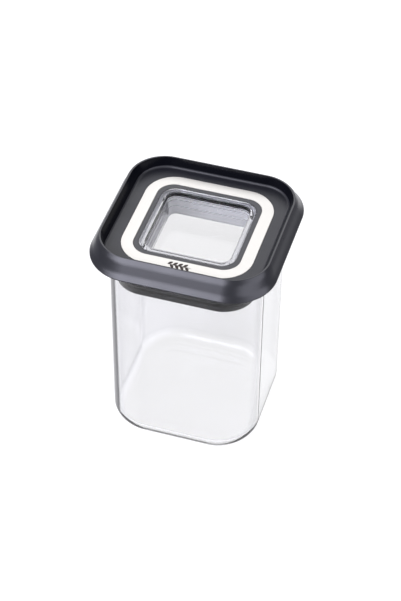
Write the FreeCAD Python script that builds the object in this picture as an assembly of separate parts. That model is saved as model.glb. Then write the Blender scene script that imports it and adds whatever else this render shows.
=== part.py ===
import FreeCAD, Part

import math
import os

# Square glass storage canister with a push-in lid. Millimetres, +Z up.
# The origin is the centre of the jar's flat underside, so the table is z = 0.
# Every outline is a square with rounded corners, centred on the Z axis; only the
# stacking rim opens out further on its left and right sides.

# ---- glass jar -------------------------------------------------------------
JAR_WIDTH = 88.6
JAR_HEIGHT = 131.0
JAR_CORNER_RADIUS = 25.3
GLASS_WALL = 2.2
GLASS_BASE = 3.0
JAR_FOOT_RADIUS = 9.0
MOUTH_ROUNDING = 1.0

# ---- lid shell: flat plate, raised stacking rim and flared skirt ------------
LID_OVERHANG = 8.8
LID_CORNER_EXTRA = 0.3
LID_RISE = 10.3
SKIRT_DROP = 0.7
PLATE_THICKNESS = 2.2
SHELL_WALL = 1.9
STACKING_PLAY = 0.1
RECESS_CORNER_RADIUS = 17.3
RECESS_FILLET = 1.4
RIM_SPREAD = 2.75
RIM_SIDE_LIP = 1.25
RIM_LIP = 0.9
RIM_CORNER_RADIUS = 20.9
RIM_ROUNDING = 0.3
SKIRT_ROUNDING = 0.3

# ---- brushed steel inlay and the bond under it ------------------------------
TRIM_MARGIN = 6.9
TRIM_BAND = 6.83
TRIM_OUTER_RADIUS = 17.6
TRIM_INNER_RADIUS = 10.0
TRIM_THICKNESS = 0.8
TRIM_GAP = 0.15
BOND_THICKNESS = 0.15
BOND_INSET = 0.5

# ---- clear window cup, fed up through the plate from below ------------------
FRAME_WIDTH = 2.67
FRAME_SINK = 0.2
WINDOW_RADIUS = 8.9
WINDOW_GAP = 0.15
CUP_LEDGE = 3.25
CUP_WALL = 1.8
CUP_DEPTH = 15.0
PANE_THICKNESS = 2.0
CUP_FLANGE_REACH = 3.5
CUP_FLANGE_THICKNESS = 2.0
CUP_LIP_ROUNDING = 0.4
CUP_FLOOR_FILLET = 1.0
CUP_FOOT_ROUNDING = 1.5

# ---- seal carrier: the plug under the plate ---------------------------------
PLUG_DEPTH = 20.5
PLUG_CLEARANCE = 6.6
CARRIER_WALL = 2.0
CARRIER_FLANGE_REACH = 2.5
CARRIER_FLANGE_THICKNESS = 2.0
CARRIER_LEDGE = 3.0
CARRIER_GAP = 0.15
CARRIER_TUCK = 0.3
RIB_HEIGHT = 1.6
RIB_REACH = 0.7
RIB_RISE = 4.7

# ---- silicone seal ----------------------------------------------------------
SEAL_SLEEVE = 1.4
SEAL_BEAD_GAP = 2.7
SEAL_BEAD_HEIGHT = 3.3
SEAL_BEAD_SQUARING = 2.4
SEAL_BEAD_ROUNDING = 1.0
SEAL_LIP_HEIGHT = 1.6
SEAL_LIP_ROUNDING = 0.6
SEAL_LIPS = ((7.0, 1.1), (14.2, 0.25))

# ---- modelling values: how far a cutter runs past a face, equal heights ------
PAST = 1.0
LEVEL_TOLERANCE = 1e-4

# ---- sizes that follow from the ones above ----------------------------------
JAR_HALF = JAR_WIDTH / 2
BORE_HALF = JAR_HALF - GLASS_WALL
JAR_CENTRE = JAR_HALF - JAR_CORNER_RADIUS

SKIRT_HALF = JAR_HALF + LID_OVERHANG
LID_CENTRE = SKIRT_HALF - (JAR_CORNER_RADIUS + LID_CORNER_EXTRA)
RECESS_HALF = JAR_HALF + STACKING_PLAY
RIM_X = RECESS_HALF + RIM_SPREAD + RIM_SIDE_LIP
RIM_Y = RECESS_HALF + RIM_LIP
PLATE_UNDER = JAR_HEIGHT
PLATE_TOP = PLATE_UNDER + PLATE_THICKNESS
SKIRT_BOTTOM = JAR_HEIGHT - SKIRT_DROP
LID_TOP = SKIRT_BOTTOM + LID_RISE

TRIM_HALF = RECESS_HALF - TRIM_MARGIN
TRIM_INNER_HALF = TRIM_HALF - TRIM_BAND
TRIM_UNDER = PLATE_TOP - TRIM_THICKNESS
POCKET_FLOOR = TRIM_UNDER - BOND_THICKNESS

WINDOW_HALF = TRIM_INNER_HALF - FRAME_WIDTH
WINDOW_CENTRE = WINDOW_HALF - WINDOW_RADIUS
FRAME_TOP = PLATE_TOP - FRAME_SINK
UPSTAND_HALF = WINDOW_HALF - WINDOW_GAP
WELL_HALF = UPSTAND_HALF - CUP_LEDGE
CUP_HALF = WELL_HALF + CUP_WALL
PANE_TOP = PLATE_TOP - CUP_DEPTH
PANE_UNDER = PANE_TOP - PANE_THICKNESS
CUP_FLANGE_HALF = WINDOW_HALF + CUP_FLANGE_REACH
CUP_FLANGE_UNDER = PLATE_UNDER - CUP_FLANGE_THICKNESS

PLUG_HALF = BORE_HALF - PLUG_CLEARANCE
PLUG_BOTTOM = PLATE_UNDER - PLUG_DEPTH
FLANGE_UNDER = CUP_FLANGE_UNDER - CARRIER_FLANGE_THICKNESS


def block(half, centre, low, high):
    """A square post with rounded corners; centre is the corner arc's offset."""
    box = Part.makeBox(
        2 * half, 2 * half, high - low, FreeCAD.Vector(-half, -half, low)
    )
    upright = [
        edge for edge in box.Edges
        if abs(edge.Vertexes[0].Z - edge.Vertexes[1].Z) > LEVEL_TOLERANCE
    ]
    return box.makeFillet(half - centre, upright)


def frame(outer, inner, outer_centre, inner_centre, low, high):
    """A square ring between two rounded outlines."""
    hole = block(inner, inner_centre, low - PAST, high + PAST)
    return block(outer, outer_centre, low, high).cut(hole)


def round_edges(solid, level, radius):
    """Round the horizontal edges that lie at one height."""
    flat = [
        edge for edge in solid.Edges
        if abs(edge.BoundBox.ZMin - level) < LEVEL_TOLERANCE
        and abs(edge.BoundBox.ZMax - level) < LEVEL_TOLERANCE
    ]
    return solid.makeFillet(radius, flat)


def outline(x_half, y_half, radius, level):
    """A level rectangle with rounded corners, as four sides and four arcs."""
    edges = []
    for quarter in range(4):
        angle = math.pi / 2 * quarter
        x_sign = 1 if quarter in (0, 3) else -1
        y_sign = 1 if quarter in (0, 1) else -1
        middle = FreeCAD.Vector(
            x_sign * (x_half - radius), y_sign * (y_half - radius), level
        )
        points = []
        for turn in (angle, angle + math.pi / 4, angle + math.pi / 2):
            way = FreeCAD.Vector(math.cos(turn), math.sin(turn), 0)
            points.append(middle + way * radius)
        if edges:
            edges.append(Part.makeLine(edges[-1].Vertexes[-1].Point, points[0]))
        edges.append(Part.Arc(*points).toShape())
    edges.append(
        Part.makeLine(edges[-1].Vertexes[-1].Point, edges[0].Vertexes[0].Point)
    )
    return Part.Wire(edges)


def taper(lower, upper):
    """A solid with straight sides between two outlines."""
    return Part.makeLoft([lower, upper], True, True)


def one_solid(shape):
    """The single solid inside a boolean result."""
    merged = shape.removeSplitter()
    return merged.Solids[0] if len(merged.Solids) == 1 else merged


def glass_jar():
    """Pressed glass jar with a round foot and a fire-polished mouth."""
    outside = block(JAR_HALF, JAR_CENTRE, 0, JAR_HEIGHT)
    outside = round_edges(outside, 0, JAR_FOOT_RADIUS)
    inside = block(BORE_HALF, JAR_CENTRE, GLASS_BASE, JAR_HEIGHT + PAST)
    inside = round_edges(inside, GLASS_BASE, JAR_FOOT_RADIUS - GLASS_WALL)
    jar = outside.cut(inside)
    return one_solid(round_edges(jar, JAR_HEIGHT, MOUTH_ROUNDING))


def lid_shell():
    """Moulded shell: plate, stacking rim, skirt cored from underneath."""
    skirt_radius = SKIRT_HALF - LID_CENTRE
    skirt = taper(
        outline(SKIRT_HALF, SKIRT_HALF, skirt_radius, SKIRT_BOTTOM),
        outline(RIM_X, RIM_Y, RIM_CORNER_RADIUS, LID_TOP),
    )
    recess = taper(
        outline(RECESS_HALF, RECESS_HALF, RECESS_CORNER_RADIUS, PLATE_TOP),
        outline(
            RIM_X - RIM_SIDE_LIP, RIM_Y - RIM_LIP, RIM_CORNER_RADIUS - RIM_LIP, LID_TOP
        ),
    )
    recess = round_edges(recess, PLATE_TOP, RECESS_FILLET)
    wall = SHELL_WALL * math.hypot(1, (SKIRT_HALF - RIM_Y) / LID_RISE)
    core = taper(
        outline(
            SKIRT_HALF - wall, SKIRT_HALF - wall, skirt_radius - wall, SKIRT_BOTTOM
        ),
        outline(RIM_X - wall, RIM_Y - wall, RIM_CORNER_RADIUS - wall, LID_TOP),
    )
    kept_half = RECESS_HALF + SHELL_WALL
    kept_radius = RECESS_CORNER_RADIUS + SHELL_WALL
    kept = taper(
        outline(kept_half, kept_half, kept_radius, PLATE_TOP),
        outline(
            kept_half + RIM_SPREAD, kept_half, RIM_CORNER_RADIUS + SHELL_WALL, LID_TOP
        ),
    )
    post = block(
        kept_half, kept_half - kept_radius, SKIRT_BOTTOM - PAST, PLATE_TOP
    )
    below = block(
        kept_half, kept_half - kept_radius, SKIRT_BOTTOM - PAST, PLATE_UNDER
    )
    groove = core.cut([kept, post])
    shell = one_solid(skirt.cut([recess, groove, below]))
    shell = round_edges(shell, LID_TOP, RIM_ROUNDING)
    shell = round_edges(shell, SKIRT_BOTTOM, SKIRT_ROUNDING)
    pocket = frame(
        TRIM_HALF + TRIM_GAP,
        TRIM_INNER_HALF - TRIM_GAP,
        TRIM_HALF - TRIM_OUTER_RADIUS,
        TRIM_INNER_HALF - TRIM_INNER_RADIUS,
        POCKET_FLOOR,
        PLATE_TOP + PAST,
    )
    sink = block(
        TRIM_INNER_HALF,
        TRIM_INNER_HALF - TRIM_INNER_RADIUS,
        FRAME_TOP,
        PLATE_TOP + PAST,
    )
    opening = block(
        WINDOW_HALF, WINDOW_CENTRE, PLATE_UNDER - PAST, PLATE_TOP + PAST
    )
    return one_solid(shell.cut([pocket, sink, opening]))


def trim_ring():
    """Flat brushed steel ring, flush with the plate."""
    return frame(
        TRIM_HALF,
        TRIM_INNER_HALF,
        TRIM_HALF - TRIM_OUTER_RADIUS,
        TRIM_INNER_HALF - TRIM_INNER_RADIUS,
        TRIM_UNDER,
        PLATE_TOP,
    )


def trim_adhesive():
    """Thin bond between the ring and the pocket floor."""
    return frame(
        TRIM_HALF - BOND_INSET,
        TRIM_INNER_HALF + BOND_INSET,
        TRIM_HALF - TRIM_OUTER_RADIUS,
        TRIM_INNER_HALF - TRIM_INNER_RADIUS,
        POCKET_FLOOR,
        TRIM_UNDER,
    )


def window_cup():
    """Clear moulded cup: flange under the plate, upstand, well and pane."""
    flange = block(
        CUP_FLANGE_HALF, WINDOW_CENTRE, CUP_FLANGE_UNDER, PLATE_UNDER
    )
    upstand = block(
        UPSTAND_HALF, WINDOW_CENTRE, CUP_FLANGE_UNDER, FRAME_TOP
    )
    body = block(CUP_HALF, WINDOW_CENTRE, PANE_UNDER, PLATE_UNDER)
    body = round_edges(body, PANE_UNDER, CUP_FOOT_ROUNDING)
    well = block(WELL_HALF, WINDOW_CENTRE, PANE_TOP, PLATE_TOP + PAST)
    well = round_edges(well, PANE_TOP, CUP_FLOOR_FILLET)
    cup = one_solid(flange.fuse([upstand, body]).removeSplitter().cut(well))
    return one_solid(round_edges(cup, FRAME_TOP, CUP_LIP_ROUNDING))


def seal_carrier():
    """Plug sleeve with a welding flange that holds the cup up to the plate."""
    reach = PLUG_HALF + CARRIER_FLANGE_REACH
    flange = block(reach, JAR_CENTRE, FLANGE_UNDER, PLATE_UNDER)
    sleeve = block(
        PLUG_HALF, JAR_CENTRE, PLUG_BOTTOM + CARRIER_TUCK, FLANGE_UNDER + PAST
    )
    rib = block(
        PLUG_HALF + RIB_REACH,
        JAR_CENTRE,
        PLUG_BOTTOM + RIB_RISE,
        PLUG_BOTTOM + RIB_RISE + RIB_HEIGHT,
    )
    seat = block(
        CUP_FLANGE_HALF + CARRIER_GAP,
        WINDOW_CENTRE,
        CUP_FLANGE_UNDER,
        PLATE_UNDER + PAST,
    )
    bore = block(
        PLUG_HALF - CARRIER_WALL, JAR_CENTRE, PLUG_BOTTOM - PAST, FLANGE_UNDER
    )
    mouth = block(
        CUP_FLANGE_HALF - CARRIER_LEDGE,
        WINDOW_CENTRE,
        FLANGE_UNDER - PAST,
        PLATE_UNDER + PAST,
    )
    carrier = flange.fuse([sleeve, rib]).removeSplitter()
    return one_solid(carrier.cut([seat, bore, mouth]))


def silicone_seal():
    """Stretched sleeve with a round foot bead and two wiping lips."""
    tube = block(
        PLUG_HALF + SEAL_SLEEVE, JAR_CENTRE, PLUG_BOTTOM, FLANGE_UNDER
    )
    bead_half = BORE_HALF - SEAL_BEAD_GAP
    bead = block(
        bead_half,
        JAR_CENTRE + SEAL_BEAD_SQUARING,
        PLUG_BOTTOM,
        PLUG_BOTTOM + SEAL_BEAD_HEIGHT,
    )
    bead = round_edges(bead, PLUG_BOTTOM, SEAL_BEAD_ROUNDING)
    bead = round_edges(
        bead, PLUG_BOTTOM + SEAL_BEAD_HEIGHT, SEAL_BEAD_ROUNDING
    )
    parts = [bead]
    for rise, gap in SEAL_LIPS:
        low = PLUG_BOTTOM + rise
        high = low + SEAL_LIP_HEIGHT
        lip = block(BORE_HALF - gap, JAR_CENTRE, low, high)
        lip = round_edges(lip, low, SEAL_LIP_ROUNDING)
        lip = round_edges(lip, high, SEAL_LIP_ROUNDING)
        parts.append(lip)
    seal = tube.fuse(parts).removeSplitter()
    bore = block(
        PLUG_HALF, JAR_CENTRE, PLUG_BOTTOM - PAST, FLANGE_UNDER + PAST
    )
    groove = block(
        PLUG_HALF + RIB_REACH,
        JAR_CENTRE,
        PLUG_BOTTOM + RIB_RISE,
        PLUG_BOTTOM + RIB_RISE + RIB_HEIGHT,
    )
    return one_solid(seal.cut([bore, groove]))


NODES = {
    "glass_jar": glass_jar,
    "lid_shell": lid_shell,
    "trim_ring": trim_ring,
    "trim_adhesive": trim_adhesive,
    "window_cup": window_cup,
    "seal_carrier": seal_carrier,
    "silicone_seal": silicone_seal,
}

os.makedirs("parts", exist_ok=True)
for node, build in NODES.items():
    shape = build()
    shape.exportStep(os.path.join("parts", node + ".step"))
    box = shape.BoundBox
    print(
        node, shape.isValid(), len(shape.Solids), round(shape.Volume, 1),
        [round(v, 2) for v in (box.XMin, box.XMax, box.ZMin, box.ZMax)],
    )
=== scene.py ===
import logging
import math
from dataclasses import dataclass
from enum import Enum, IntEnum
from typing import Iterable, Sequence

import bpy
from mathutils import Matrix, Vector


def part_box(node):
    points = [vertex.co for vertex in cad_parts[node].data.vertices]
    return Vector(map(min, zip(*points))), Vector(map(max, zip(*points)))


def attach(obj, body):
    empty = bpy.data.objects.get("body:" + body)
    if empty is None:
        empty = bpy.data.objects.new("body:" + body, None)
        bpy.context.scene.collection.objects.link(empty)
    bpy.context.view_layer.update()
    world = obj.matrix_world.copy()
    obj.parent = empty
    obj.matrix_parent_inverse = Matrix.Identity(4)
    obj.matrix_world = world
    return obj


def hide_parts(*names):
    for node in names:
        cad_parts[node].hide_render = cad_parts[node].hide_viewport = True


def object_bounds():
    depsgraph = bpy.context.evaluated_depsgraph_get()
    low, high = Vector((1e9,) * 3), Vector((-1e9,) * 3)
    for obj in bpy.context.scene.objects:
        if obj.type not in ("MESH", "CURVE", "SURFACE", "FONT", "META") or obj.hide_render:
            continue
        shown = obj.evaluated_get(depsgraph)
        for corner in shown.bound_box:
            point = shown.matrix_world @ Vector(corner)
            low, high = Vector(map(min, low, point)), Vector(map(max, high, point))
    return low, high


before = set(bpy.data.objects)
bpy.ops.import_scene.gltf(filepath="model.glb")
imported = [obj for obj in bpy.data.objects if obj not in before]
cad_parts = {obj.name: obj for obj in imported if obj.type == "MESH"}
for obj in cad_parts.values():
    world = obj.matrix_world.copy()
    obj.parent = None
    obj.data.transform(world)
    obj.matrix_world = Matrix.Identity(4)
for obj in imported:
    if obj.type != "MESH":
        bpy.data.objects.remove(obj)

# A square glass storage canister with a push-in stacking lid. The canister's sizes are
# millimetres and become metres only where a mesh or a pattern is made. The studio's are metres.

MM = 0.001
CAD_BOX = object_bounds()

Tree = bpy.types.NodeTree
Node = bpy.types.Node
Socket = bpy.types.NodeSocket
Piece = bpy.types.Object

log = logging.getLogger("canister")


# ---------------------------------------------------------------------------
# Small helpers
# ---------------------------------------------------------------------------


def linear_colour(srgb: str) -> tuple[float, float, float, float]:
    """Turns an sRGB hex value into the linear colour that shaders work in.

    Args:
        srgb: Colour such as "#1d1e22".

    Returns:
        Linear red, green and blue, with full opacity.
    """
    channels = []
    for start in (1, 3, 5):
        value = int(srgb[start:start + 2], 16) / 255
        channels.append(value / 12.92 if value <= 0.04045 else ((value + 0.055) / 1.055) ** 2.4)
    return channels[0], channels[1], channels[2], 1.0


def cycles_per_metre(size_mm: float) -> float:
    """The texture scale that makes one cell of a pattern this many millimetres wide."""
    return 1.0 / (size_mm * MM)


def add_node(
    tree: Tree,
    kind: str,
    settings: dict[str | int, object] | None = None,
    links: Iterable[tuple[str | int, Socket]] = (),
) -> Node:
    """Adds one shader node with its settings and incoming links.

    Args:
        tree: Node tree to add to.
        kind: Blender's node type.
        settings: Properties or input values, by name or input number.
        links: Pairs of input name or number and the socket that feeds it.

    Returns:
        The new node.
    """
    node = tree.nodes.new(kind)
    for key, value in (settings or {}).items():
        if isinstance(key, str) and hasattr(node, key):
            setattr(node, key, value)
        else:
            node.inputs[key].default_value = value
    for key, source in links:
        tree.links.new(source, node.inputs[key])
    return node


def way_out(azimuth: float, elevation: float) -> Vector:
    """Direction from the canister to a place round it.

    Args:
        azimuth: Turn to the right of straight in front, radians.
        elevation: Height over the horizon, radians.

    Returns:
        The direction, one unit long.
    """
    level_reach = math.cos(elevation)
    return Vector((
        math.sin(azimuth) * level_reach,
        -math.cos(azimuth) * level_reach,
        math.sin(elevation),
    ))


def half_width(node: str) -> float:
    """Distance from the axis to a CAD node's side, in millimetres."""
    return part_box(node)[1].x / MM


def half_depth(node: str) -> float:
    """Distance from the axis to a CAD node's back, in millimetres."""
    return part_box(node)[1].y / MM


def level(node: str, top: bool) -> float:
    """Height of a CAD node's top or bottom over the table, in millimetres."""
    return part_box(node)[1 if top else 0].z / MM


# ---------------------------------------------------------------------------
# Rounded-square sweeps: every moulded and pressed piece is one side profile
# carried round a square with rounded corners
# ---------------------------------------------------------------------------


@dataclass(frozen=True)
class Turn:
    """One corner of a side profile.

    Args:
        out: Distance from the axis to the flat front and back.
        up: Height over the table.
        rounding: Radius that breaks this corner.
        centre: How far out the outline's own corner arcs are centred.
        stretch: How much further out the flat left and right sides stand.
        zone: Which of the piece's finishes runs from here to the next corner.
    """

    out: float
    up: float
    rounding: float
    centre: float
    stretch: float = 0.0
    zone: int = 0


@dataclass(frozen=True)
class Station:
    """One ring of a swept surface, as it passes the front and as it passes the sides.

    Args:
        front: Place in the profile and surface direction at the front.
        side: The same at the sides.
        centre: How far out the corner arcs are centred.
        zone: Which of the piece's finishes runs from here to the next ring.
    """

    front: tuple[Vector, Vector]
    side: tuple[Vector, Vector]
    centre: float
    zone: int


@dataclass(frozen=True)
class SquareSweep:
    """Carries a side profile round a square with rounded corners.

    Args:
        corner_steps: Facets in each quarter turn of the outline.
        rounding_steps: Facets in each rounding of the profile.
    """

    corner_steps: int = 28
    rounding_steps: int = 6

    def walk(self, points: Sequence[Vector], roundings: Sequence[float],
             closed: bool) -> list[tuple[Vector, Vector]]:
        """Breaks a profile's corners into arcs.

        Args:
            points: Corners in order, with the material on the left of the way they run.
            roundings: Radius of each corner.
            closed: Whether the last corner joins the first.

        Returns:
            Places along the profile with the exact surface direction at each.
        """
        count = len(points)
        found: list[tuple[Vector, Vector]] = []
        for index, here in enumerate(points):
            if not closed and index in (0, count - 1):
                other = points[1] if index == 0 else points[count - 2]
                run = (other - here) if index == 0 else (here - other)
                run.normalize()
                found.append((here, Vector((run.y, -run.x))))
                continue
            inward = (here - points[index - 1]).normalized()
            onward = (points[(index + 1) % count] - here).normalized()
            bend = inward.angle_signed(onward)
            radius = roundings[index]
            start = here - inward * radius * math.tan(abs(bend) / 2)
            side = Vector((inward.y, -inward.x))
            spin = -bend
            swing = radius * math.copysign(1, spin)
            for step in range(self.rounding_steps + 1):
                turned = side.copy()
                turned.rotate(Matrix.Rotation(spin * step / self.rounding_steps, 2))
                found.append((start - side * swing + turned * swing, turned))
        return found

    def stations(self, turns: Sequence[Turn], closed: bool) -> list[Station]:
        """Walks the profile at the front and at the sides.

        Args:
            turns: Corners in order, with the material on the left of the way they run.
            closed: Whether the last corner joins the first.

        Returns:
            The rings to build.
        """
        roundings = [turn.rounding for turn in turns]
        front = self.walk([Vector((t.out, t.up)) for t in turns], roundings, closed)
        side = self.walk([Vector((t.out + t.stretch, t.up)) for t in turns], roundings, closed)
        owners: list[Turn] = []
        for index, turn in enumerate(turns):
            single = not closed and index in (0, len(turns) - 1)
            owners += [turn] * (1 if single else self.rounding_steps + 1)
        return [
            Station(front_ring, side_ring, owner.centre, owner.zone)
            for front_ring, side_ring, owner in zip(front, side, owners)
        ]

    def outline(self, out: float, side_out: float, centre: float) -> list[tuple[Vector, Vector]]:
        """One level rounded square or, where the sides stand further out, rectangle.

        Args:
            out: Distance from the axis to the flat front and back.
            side_out: Distance from the axis to the flat sides.
            centre: Offset of the corner arcs' centres from the front to back axis.

        Returns:
            Pairs of point and outward direction, anticlockwise.
        """
        radius = out - centre
        reach = side_out - radius
        corners = ((reach, centre), (-reach, centre), (-reach, -centre), (reach, -centre))
        found = []
        for quarter, corner in enumerate(corners):
            for step in range(self.corner_steps + 1):
                angle = math.pi / 2 * (quarter + step / self.corner_steps)
                way = Vector((math.cos(angle), math.sin(angle)))
                found.append((Vector(corner) + way * radius, way))
        return found

    def build(self, name: str, turns: Sequence[Turn], closed: bool = True) -> Piece:
        """Makes the swept piece as a mesh with exact normals.

        Args:
            name: Name of the new object.
            turns: Corners of the side profile.
            closed: True for a ring, False for a profile that starts and ends in a flat cap.

        Returns:
            The new object, in the shared frame.
        """
        rings = self.stations(turns, closed)
        around = 4 * (self.corner_steps + 1)
        points: list[Vector] = []
        normals: list[Vector] = []
        for ring in rings:
            (front, front_way), (side, side_way) = ring.front, ring.side
            for place, way in self.outline(front.x, side.x, ring.centre):
                up = front.y + (side.y - front.y) * way.x ** 2
                tilt = front_way.lerp(side_way, way.x ** 2).normalized()
                points.append(Vector((place.x, place.y, up)) * MM)
                normals.append(Vector((way.x * tilt.x, way.y * tilt.x, tilt.y)))
        faces: list[list[int]] = []
        zones: list[int] = []
        for index in range(len(rings) if closed else len(rings) - 1):
            zones += [rings[index].zone] * around
            lower = index * around
            upper = (index + 1) % len(rings) * around
            for step in range(around):
                ahead = (step + 1) % around
                faces.append([lower + step, lower + ahead, upper + ahead, upper + step])
        if not closed:
            last = (len(rings) - 1) * around
            faces.append(list(reversed(range(around))))
            faces.append([last + step for step in range(around)])
            zones += [rings[0].zone, rings[-1].zone]
        piece = mesh_object(name, points, faces, normals)
        for polygon, zone in zip(piece.data.polygons, zones):
            polygon.material_index = zone
        return piece


def mesh_object(
    name: str,
    points: Sequence[Vector],
    faces: Sequence[Sequence[int]],
    normals: Sequence[Vector] | None = None,
) -> Piece:
    """Makes one mesh object.

    Args:
        name: Name of the object and its mesh.
        points: Vertices in metres.
        faces: Vertex numbers of each face, anticlockwise from outside.
        normals: Exact surface direction at each vertex, where it is known.

    Returns:
        The new object, linked to the scene.
    """
    mesh = bpy.data.meshes.new(name)
    mesh.from_pydata([tuple(point) for point in points], [], faces)
    mesh.validate()
    if normals is not None:
        mesh.shade_smooth()
        mesh.normals_split_custom_set_from_vertices([tuple(normal) for normal in normals])
    piece = bpy.data.objects.new(name, mesh)
    bpy.context.scene.collection.objects.link(piece)
    return piece


# ---------------------------------------------------------------------------
# Finishes
# ---------------------------------------------------------------------------


@dataclass(frozen=True)
class Finish:
    """A real material with the way its surface was made.

    Args:
        name: Plain name of the material.
        slot: Material slot of the record that it stands for; not used.
        colour: Base colour, sRGB hex.
        roughness: Typical microfacet roughness, matched to the piece.
    """

    name: str
    slot: str
    colour: str
    roughness: float

    def material(self) -> bpy.types.Material:
        """Builds the node material.

        Returns:
            The finished material.
        """
        material = bpy.data.materials.new(self.name)
        material.use_nodes = True
        tree = material.node_tree
        tree.nodes.clear()
        shader = add_node(tree, "ShaderNodeBsdfPrincipled", {
            "Base Color": linear_colour(self.colour),
            "Roughness": self.roughness,
        })
        add_node(tree, "ShaderNodeOutputMaterial", links=[("Surface", shader.outputs["BSDF"])])
        place = add_node(tree, "ShaderNodeTexCoord").outputs["Object"]
        self.surface(tree, shader, place)
        material.diffuse_color = linear_colour(self.colour)
        return material

    def surface(self, tree: Tree, shader: Node, place: Socket) -> None:
        """Adds what sets this finish apart; each finish has its own."""
        raise NotImplementedError

    def put_on(self, piece: Piece) -> None:
        """Gives a piece this finish.

        Args:
            piece: Object to dress.
        """
        material = self.material()
        if piece.material_slots:
            for holder in piece.material_slots:
                holder.material = material
        else:
            piece.data.materials.append(material)


def vary_roughness(
    tree: Tree,
    shader: Node,
    pattern: Socket,
    middle: float,
    spread: float,
) -> None:
    """Lets a pattern move the roughness either side of its middle.

    Args:
        tree: Material's node tree.
        shader: Principled shader to feed.
        pattern: Socket that runs from 0 to 1.
        middle: Roughness where the pattern is 0.5.
        spread: How far it moves either side.
    """
    moved = add_node(tree, "ShaderNodeMapRange",
                     {"To Min": middle - spread, "To Max": middle + spread},
                     [("Value", pattern)])
    tree.links.new(moved.outputs["Result"], shader.inputs["Roughness"])


def paint_edge_shade(tree: Tree, stops: Sequence[tuple[float, str]]) -> Socket:
    """Paints shade into clear material's colour, darker the more the eye meets it edge on.

    Args:
        tree: Material's node tree.
        stops: Turn away from the eye, 0 to 1, and the painted shade colour there, sRGB hex. The
            two ends of the run come first, then those between them.

    Returns:
        The colour that results.
    """
    facing = add_node(tree, "ShaderNodeLayerWeight", {"Blend": 0.5})
    ramp = add_node(tree, "ShaderNodeValToRGB", links=[("Fac", facing.outputs["Facing"])])
    ramp.color_ramp.interpolation = "EASE"
    elements = ramp.color_ramp.elements
    for index, (turn, colour) in enumerate(stops):
        stop = elements[index] if index < 2 else elements.new(turn)
        stop.position = turn
        stop.color = linear_colour(colour)
    return ramp.outputs["Color"]


def raise_surface(
    tree: Tree,
    shader: Node,
    pattern: Socket,
    depth_mm: float,
    strength: float,
) -> None:
    """Turns a pattern into relief.

    Args:
        tree: Material's node tree.
        shader: Principled shader to feed.
        pattern: Socket that runs from 0 to 1.
        depth_mm: Height of the relief.
        strength: How much of it the light feels.
    """
    bump = add_node(tree, "ShaderNodeBump", {"Distance": depth_mm * MM, "Strength": strength},
                    [("Height", pattern)])
    tree.links.new(bump.outputs["Normal"], shader.inputs["Normal"])


@dataclass(frozen=True)
class ClearFinish(Finish):
    """Clear stock with a polished face; glass and clear plastic are two kinds of it.

    Args:
        ior: Index of refraction.
        edges: Turn away from the eye, 0 to 1, and the painted shade colour there, sRGB hex.
        mirror: Tone of what its face reflects head on, sRGB hex.
        wave_mm: Width of one wave in its face.
        wave_depth_mm: Height of that wave.
    """

    ior: float = 1.49
    # Painted shade: clear stock darkens towards its edges.
    edges: tuple[tuple[float, str], ...] = ((0.5, "#ffffff"), (0.76, "#54545c"))
    mirror: str = "#ffffff"
    wave_mm: float = 9.0
    wave_depth_mm: float = 0.004

    def surface(self, tree: Tree, shader: Node, place: Socket) -> None:
        """Adds transmission, IOR, tones with painted edge shade, and slow waves."""
        shader.inputs["Transmission Weight"].default_value = 1.0
        shader.inputs["IOR"].default_value = self.ior
        shader.inputs["Specular Tint"].default_value = linear_colour(self.mirror)
        tree.links.new(self.tone(tree, place), shader.inputs["Base Color"])
        wave = add_node(tree, "ShaderNodeTexNoise",
                        {"Scale": cycles_per_metre(self.wave_mm), "Detail": 1.0},
                        [("Vector", place)])
        raise_surface(tree, shader, wave.outputs["Fac"], self.wave_depth_mm, 1.0)

    def tone(self, tree: Tree, place: Socket) -> Socket:
        """Finds the material's colour, with painted shade that darkens it towards its edges.

        Args:
            tree: Material's node tree.
            place: Place in the shared frame.

        Returns:
            The colour.
        """
        return paint_edge_shade(tree, self.edges)


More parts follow.
